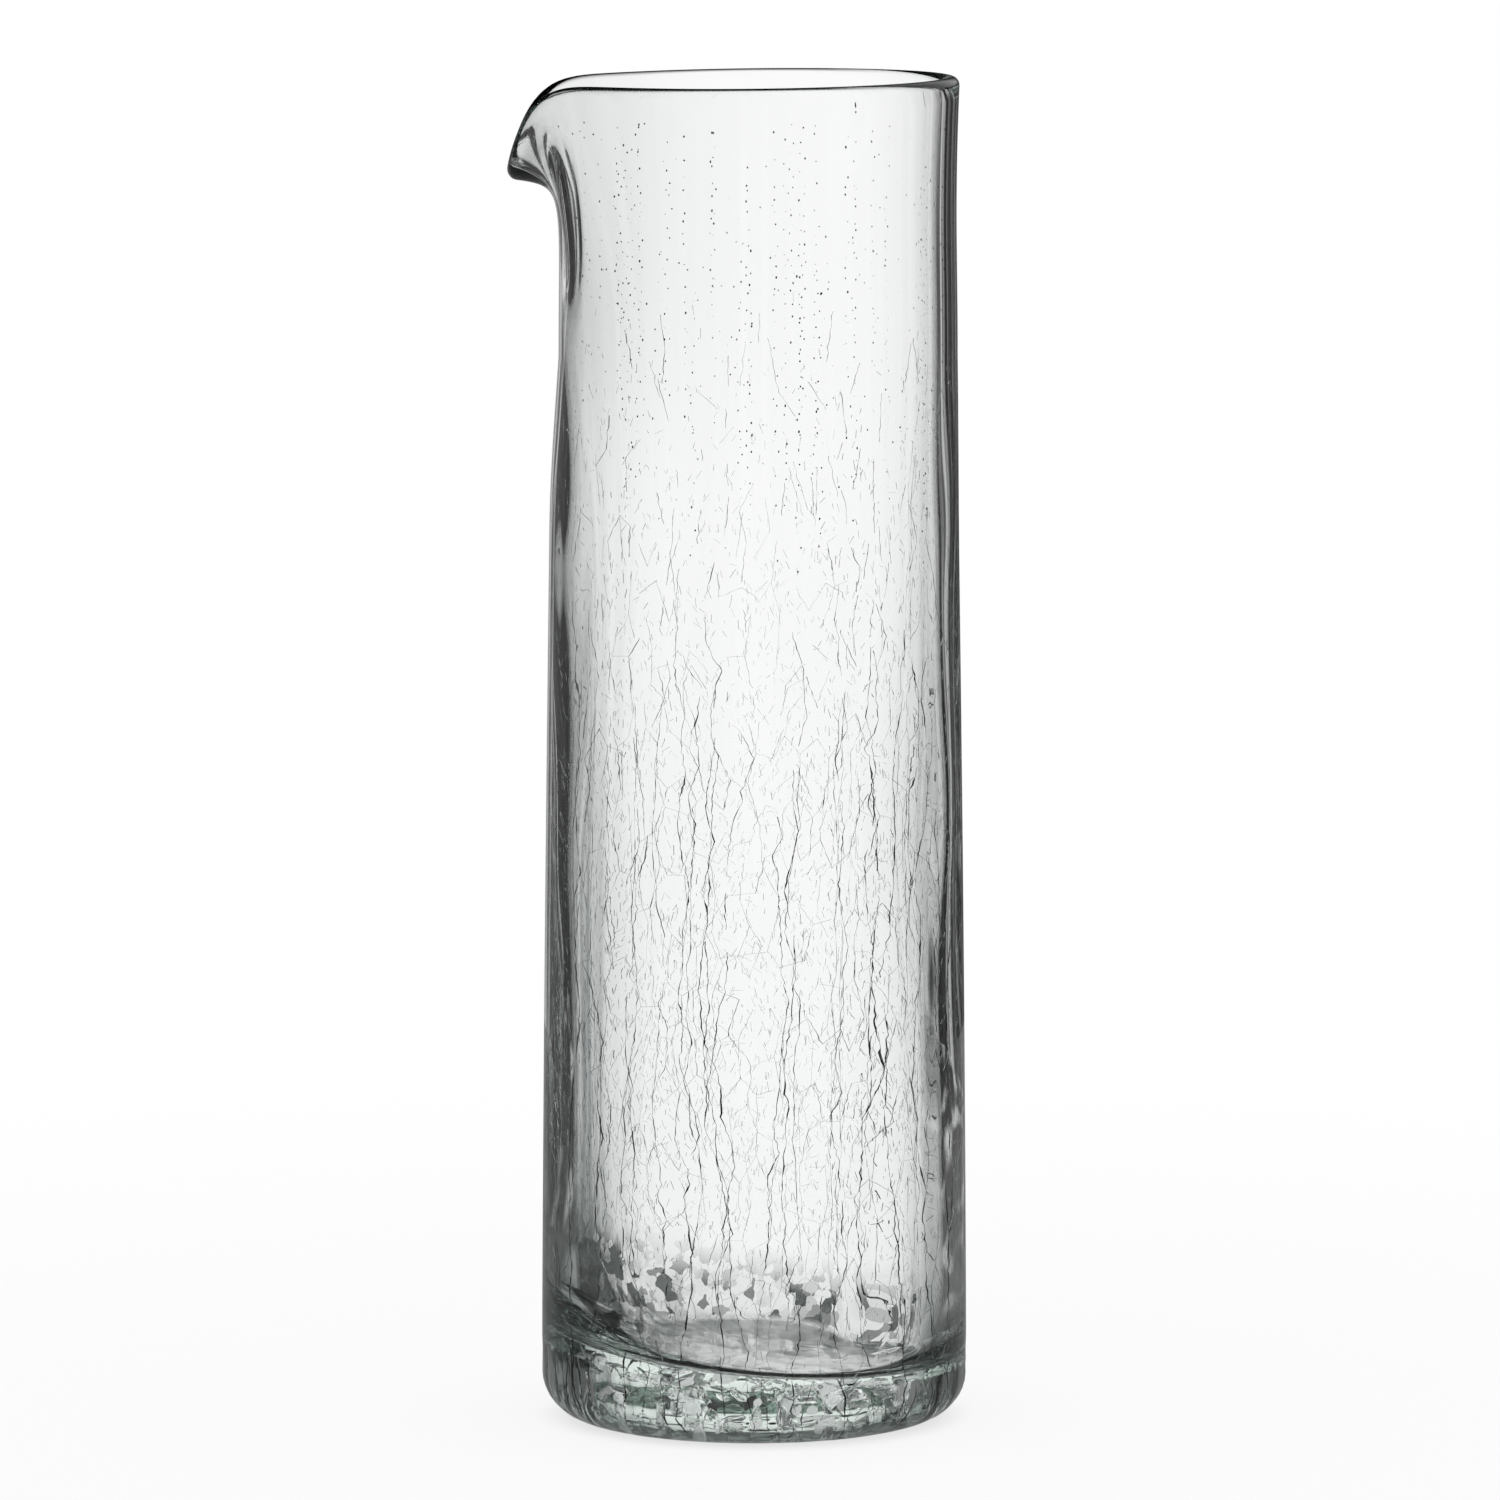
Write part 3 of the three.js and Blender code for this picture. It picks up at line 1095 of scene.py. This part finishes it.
def clear_glass(glass, crackle):
    """Clear glass darkened by painted shade: along its surface, in soft bands, in the foot, on the facets and
    round the rim
    """
    finish, board = new_finish("clear_glass")
    edge = board.out(board.node("LayerWeight", Blend=0.5), "Facing")
    # Painted shade where the glass is seen along its surface, and in soft upright bands
    painted_shade = edge ** glass.edge_shade_power * board.mark("edge") + glass.painted_band_shade * board.mark("painted_band_shade")
    colour = board.mix_colour(painted_shade, (*glass.clear_colour, 1), (*glass.edge_shade_colour, 1))
    # Painted shade on the foot and the rim: both stay clear where they are seen face on
    heavy = board.mark("heavy") * board.ramp(edge, 0.2, 0.5, 0, 1)
    colour = board.mix_colour(heavy, colour, (*glass.foot_shade_colour, 1))
    # Painted shade on the facets: a random grey for each, stronger on the far side and evenly darker in the
    # corner below the spout
    place = board.out(board.node("TexCoord"), "Object")
    plates = board.node(
        "TexVoronoi", {"distance": "MANHATTAN"}, Vector=place, Scale=1.0 / crackle.facet_size)
    shade = board.out(board.node("SeparateColor", Color=board.out(plates, "Color")), "Red")
    facets = board.mark("broken") * board.ramp(shade, 0.25, 0.95, 0.25, 1)
    painted_corner_shade = board.ramp(board.mark("broken"), 1.05, 1.5, 0, 0.55)
    colour = board.mix_colour(facets + painted_corner_shade, colour, (*glass.facet_shade_colour, 1))
    # Painted shade round the rim and under the lip, where they are seen along their surface
    rim = board.mark("rim") * board.ramp(edge, 0.2, 0.4, 0, 1)
    colour = board.mix_colour(rim, colour, (*glass.rim_shade_colour, 1))
    surface = board.node(
        "BsdfPrincipled", Base_Color=colour, Roughness=0.0, IOR=glass.refraction,
        Specular_Tint=(glass.mirror, glass.mirror, glass.mirror, 1), Transmission_Weight=1.0,
        Coat_Weight=board.mark("plate"), Coat_Roughness=glass.plate_roughness,
        Coat_IOR=glass.plate_refraction)
    body = board.node("VolumeAbsorption", Color=(*glass.body_colour, 1), Density=glass.body_density)
    board.node("OutputMaterial", Surface=board.out(surface), Volume=board.out(body))
    return finish


def trapped_air(glass, name, colour):
    """Air inside the glass: light bends the other way round, and a colour below white paints shade on its
    faces
    """
    finish, board = new_finish(name)
    surface = board.node("BsdfGlass", Roughness=0.0, IOR=1 / glass.refraction, Color=(*colour, 1))
    board.node("OutputMaterial", Surface=board.out(surface))
    return finish


class PITCHER_OT_blow_glass(bpy.types.Operator):
    """Spin the glass and pull its spout"""
    bl_idname = "pitcher.blow_glass"
    bl_label = "Blow Glass"

    def execute(self, context):
        scene = context.scene
        shape, crackle = scene.pitcher_shape, scene.pitcher_crackle
        noise.seed_set(FACET_SEED)
        rings = rings_of_glass()
        section = [point_at(shape, crackle, share, math.pi) for point_at, share in rings]
        piece = spin_section("pitcher_glass", section)
        shape_glass(piece, shape, crackle, rings)
        bpy.ops.object.shade_smooth_by_angle(angle=math.radians(25))
        finish_piece(piece, clear_glass(scene.pitcher_glass, crackle), *NODES)
        return {"FINISHED"}


class PITCHER_OT_crack_wall(bpy.types.Operator):
    """Crack the outside of the glass below the collar"""
    bl_idname = "pitcher.crack_wall"
    bl_label = "Crack Wall"

    def execute(self, context):
        scene = context.scene
        shape, crackle, glass = scene.pitcher_shape, scene.pitcher_crackle, scene.pitcher_glass
        # The air of the cracks is tinted with painted shade
        fine = trapped_air(glass, "crack_air", glass.crack_shade_colour)
        deep = trapped_air(glass, "deep_crack_air", glass.deep_crack_shade_colour)
        # The paths of each kind, how far its blades twist, and its air
        kinds = {
            "upright_cracks": (upright_cracks, 0.48, deep),
            "cell_cracks": (cell_cracks, 0.28, fine),
            "hair_cracks": (hair_cracks, 0.25, fine),
            "foot_cracks": (foot_cracks, 0.35, deep),
        }
        for seed, (name, (paths_of, tilt, finish)) in enumerate(kinds.items()):
            draw = random.Random(seed)
            paths = paths_of(shape, crackle, draw)
            piece = crack_piece(name, crackle, skin_strokes(shape, crackle, paths, tilt, draw))
            finish_piece(piece, finish)
        return {"FINISHED"}


# Half the width and half the thickness of a fracture, and the fall of its ends, for half a length of 1
FRACTURE_WIDTH, FRACTURE_THICKNESS, FRACTURE_BOW = 0.7, 0.03, 0.12
# Glass that covers a fracture on all sides
FRACTURE_COVER = 0.6 * MM


class PITCHER_OT_fracture_foot(bpy.types.Operator):
    """Scatter flat fractures through the heavy foot, and part its skin from its core"""
    bl_idname = "pitcher.fracture_foot"
    bl_label = "Fracture Foot"

    def execute(self, context):
        scene = context.scene
        shape, crackle, glass = scene.pitcher_shape, scene.pitcher_crackle, scene.pitcher_glass
        bpy.ops.object.select_all(action="DESELECT")
        bpy.ops.mesh.primitive_uv_sphere_add(segments=8, ring_count=4, radius=1)
        piece = context.object
        piece.name = piece.data.name = "foot_fractures"
        bpy.ops.object.mode_set(mode="EDIT")
        bpy.ops.mesh.select_all(action="SELECT")
        bpy.ops.transform.resize(value=(1, FRACTURE_WIDTH, FRACTURE_THICKNESS))
        bpy.ops.object.mode_set(mode="OBJECT")
        for vertex in piece.data.vertices:
            vertex.co.z -= FRACTURE_BOW * vertex.co.x ** 2
        draw = random.Random(21)
        corners = [vertex.co.copy() for vertex in piece.data.vertices]
        copy_to(piece, self.held(self.shards(crackle, draw), crackle.shard_count, shape, corners))
        finish = trapped_air(glass, "fracture_air", glass.clear_colour)
        finish_piece(piece, finish)
        finish_piece(crack_piece("foot_shell", crackle, shell_strokes(shape, crackle, draw)), finish)
        return {"FINISHED"}

    def held(self, matrices, count, shape, corners):
        """The first matrices that keep a fracture inside the glass"""
        found = []
        while len(found) < count:
            matrix = next(matrices)
            if all(inside_foot(shape, matrix @ corner, FRACTURE_COVER) for corner in corners):
                found.append(matrix)
        return found

    def shards(self, crackle, draw):
        """Matrices of fractures that lie nearly level, without end"""
        while True:
            radius = crackle.core_radius * math.sqrt(draw.random())
            height = draw.uniform(1, 14) * MM
            spot = place_round(radius, height, draw.uniform(-math.pi, math.pi))
            turn = Euler((draw.gauss(0, 0.55), draw.gauss(0, 0.55), draw.uniform(0, math.pi)))
            size = Matrix.Scale(crackle.shard_size * draw.uniform(0.3, 1), 4)
            yield Matrix.Translation(spot) @ turn.to_matrix().to_4x4() @ size


class PITCHER_OT_seed_wall(bpy.types.Operator):
    """Trap small bubbles in the upper wall, many of them in upright strings"""
    bl_idname = "pitcher.seed_wall"
    bl_label = "Seed Wall"

    def execute(self, context):
        scene = context.scene
        shape, crackle, glass = scene.pitcher_shape, scene.pitcher_crackle, scene.pitcher_glass
        bpy.ops.object.select_all(action="DESELECT")
        bpy.ops.mesh.primitive_ico_sphere_add(subdivisions=1, radius=1)
        piece = context.object
        piece.name = piece.data.name = "seed_bubbles"
        bpy.ops.object.shade_smooth()
        draw = random.Random(33)
        spots = self.strings(shape, crackle, draw) + self.loose(crackle, draw)
        copy_to(piece, [self.bubble(shape, crackle, draw, *spot) for spot in spots])
        # The air of the bubbles is tinted with painted shade
        finish_piece(piece, trapped_air(glass, "seed_air", glass.seed_shade_colour))
        return {"FINISHED"}

    def strings(self, shape, crackle, draw):
        """Angle and height of the bubbles that lie above one another"""
        spots = []
        highest = shape.height - 4 * MM
        for _ in range(crackle.string_count):
            around = draw.uniform(-math.pi, math.pi)
            height = CRACKLE_TOP - draw.uniform(-20, 45) * MM
            top = min(height + draw.uniform(35, 110) * MM, highest)
            while height < top:
                aside = draw.gauss(0, 0.3) * MM
                spots.append((around + aside / shape.neck_radius, height))
                height += draw.uniform(1.2, 6) * MM
        return spots

    def loose(self, crackle, draw):
        """Angle and height of the other bubbles, most of them a little above the crackle"""
        heights = (CRACKLE_TOP + draw.triangular(-60, 54, 18) * MM for _ in range(crackle.loose_count))
        return [(draw.uniform(-math.pi, math.pi), height) for height in heights]

    def bubble(self, shape, crackle, draw, around, height):
        """Matrix of one bubble, drawn out upwards, in the thickness of the wall"""
        angle = wrap(around)
        aside = draw.uniform(-0.6, 0.6)
        if height > CRACKLE_TOP:
            share = (height - CRACKLE_TOP) / (shape.height - CRACKLE_TOP)
            radius, z = collar_point(shape, share, angle, aside)
        else:
            half = wall_thickness(shape, height, angle) / 2
            radius, z = outer_radius(shape, height, angle) - half + aside * half, height
        size = crackle.seed_radius * draw.uniform(0.3, 1)
        stretch = Matrix.Diagonal((size, size, size * draw.uniform(1, 1.7), 1))
        return Matrix.Translation(place_round(radius, z, angle)) @ stretch


class PITCHER_OT_set_stage(bpy.types.Operator):
    """Set the pale floor, the light and the camera"""
    bl_idname = "pitcher.set_stage"
    bl_label = "Set Stage"

    def execute(self, context):
        scene = context.scene
        stage = scene.pitcher_stage
        self.lay_floor(scene.pitcher_shape, stage)
        self.light_world(scene, stage)
        self.place_camera(scene, stage)
        scene.view_settings.view_transform = "Standard"
        scene.cycles.max_bounces = 64
        scene.cycles.transmission_bounces = 64
        scene.cycles.glossy_bounces = 32
        return {"FINISHED"}

    def lay_floor(self, shape, stage):
        """A matt floor that glows white for the camera and keeps its real shadow round the foot, with a
        painted shadow under the foot and painted light and shade for light mirrored in the glass
        """
        bpy.ops.object.select_all(action="DESELECT")
        bpy.ops.mesh.primitive_circle_add(vertices=96, radius=stage.floor_radius, fill_type="NGON")
        floor = bpy.context.object
        floor.name = "floor"
        finish, board = new_finish("pale_floor")
        place = board.out(board.node("TexCoord"), "Object")
        far = board.out(board.node("VectorMath", {"operation": "LENGTH"}, input_0=place), "Value")
        white = board.ramp(far, 0.15, 0.95 * stage.floor_radius, 0.85, 1.0)
        foot = shape.foot_radius
        # Painted shadow: the floor glows dimmer under the foot
        under = board.ramp(far, 0.8 * foot, 1.05 * foot, stage.shaded_floor, 1.0)
        clear = board.ramp(far, foot, 1.1 * foot, 0, 1)
        # For light mirrored in the glass: painted light under the middle of the foot, painted shade under the
        # rest of it, and a little painted light with painted strips close round it
        core = board.ramp(far, 0.4 * foot, 0.7 * foot, stage.core, 0)
        near = board.ramp(far, 3 * foot, 5 * foot, stage.table, 0)
        inner = core + (near + self.flags(board, stage, place)) * clear
        level = self.light_level(board, under, stage.floor_reflection, inner)
        matt = board.node("BsdfDiffuse", Color=(*stage.floor_colour, 1))
        glow = board.node("Emission", Color=(1, 1, 1, 1), Strength=level)
        mixed = board.node(
            "MixShader", input_0=board.seen() * white, input_1=board.out(matt), input_2=board.out(glow))
        board.node("OutputMaterial", Surface=board.out(mixed))
        floor.data.materials.append(finish)

    def flags(self, board, stage, way):
        """Dark and pale strips that stand upright round the stage, more of them dark"""
        upright = board.out(board.node("Mapping", Vector=way, Scale=(1, 1, 0.2)))
        streak = board.out(board.node("TexNoise", Vector=upright, Scale=12.0, Detail=1.0), 0)
        return board.ramp(streak, 0.48, 0.7, stage.flag_dark, stage.flag_pale)

    def light_world(self, scene, stage):
        """A white world, but with flags and a dark ceiling for light that the glass mirrored"""
        world = bpy.data.worlds.new("pale_studio")
        world.use_nodes = True
        scene.world = world
        board = Board(world.node_tree)
        way = board.out(board.node("TexCoord"), "Generated")
        parts = board.node("SeparateXYZ", Vector=way)
        up = board.out(parts, "Z")
        off_spout = board.out(parts, "X")
        strips = self.flags(board, stage, way)
        beside = board.ramp(off_spout, -0.15, 0.1, stage.pale_side, stage.reflection)
        ceiling = board.ramp(off_spout, 0.05, 0.35, stage.ceiling, stage.pale_ceiling)
        outer = board.ramp(up, 0, 0.15, beside * (0.35 + 1.4 * strips), ceiling)
        _, often, _ = board.travels()
        above = board.ramp(up, 0, 0.16, 0, stage.overhead)
        far_above = board.ramp(up, 0.3, 0.7, 0, stage.overhead)
        inner = strips + above + often * (far_above - above)
        strength = self.light_level(board, 1.0, outer, inner)
        sky = board.node("Background", Color=(1, 1, 1, 1), Strength=strength)
        board.node("OutputWorld", Surface=board.out(sky))

    def light_level(self, board, straight, outer, inner):
        """Brightness for light that was not mirrored, mirrored by the outside, and mirrored in the glass"""
        mirrored, _, inside = board.travels()
        return straight + mirrored * (outer + inside * (inner - outer) - straight)

    def place_camera(self, scene, stage):
        bpy.ops.object.camera_add(
            location=(stage.camera_side, -stage.camera_distance, stage.camera_height),
            rotation=(math.pi / 2 - stage.camera_tilt, 0, 0))
        camera = bpy.context.object
        camera.name = "camera"
        camera.data.lens = stage.lens
        camera.data.sensor_width = 36
        camera.data.clip_end = 50
        scene.camera = camera


class PITCHER_PT_sidebar(bpy.types.Panel):
    """The steps that make the pitcher"""
    bl_label = "Pitcher"
    bl_space_type = "VIEW_3D"
    bl_region_type = "UI"
    bl_category = "Pitcher"

    def draw(self, context):
        for step in STEPS:
            self.layout.operator(step.bl_idname)


STEPS = (
    PITCHER_OT_blow_glass,
    PITCHER_OT_crack_wall,
    PITCHER_OT_fracture_foot,
    PITCHER_OT_seed_wall,
    PITCHER_OT_set_stage,
)
GROUPS = {
    "pitcher_shape": PitcherShape,
    "pitcher_crackle": PitcherCrackle,
    "pitcher_glass": PitcherGlass,
    "pitcher_stage": PitcherStage,
}
CLASSES = (*GROUPS.values(), *STEPS, PITCHER_PT_sidebar)


def register():
    for item in CLASSES:
        bpy.utils.register_class(item)
    for name, group in GROUPS.items():
        setattr(bpy.types.Scene, name, PointerProperty(type=group))


def unregister():
    for name in GROUPS:
        delattr(bpy.types.Scene, name)
    for item in reversed(CLASSES):
        bpy.utils.unregister_class(item)


def main():
    register()
    bpy.ops.pitcher.blow_glass()
    bpy.ops.pitcher.crack_wall()
    bpy.ops.pitcher.fracture_foot()
    bpy.ops.pitcher.seed_wall()
    bpy.ops.pitcher.set_stage()


if __name__ == "__main__":
    main()
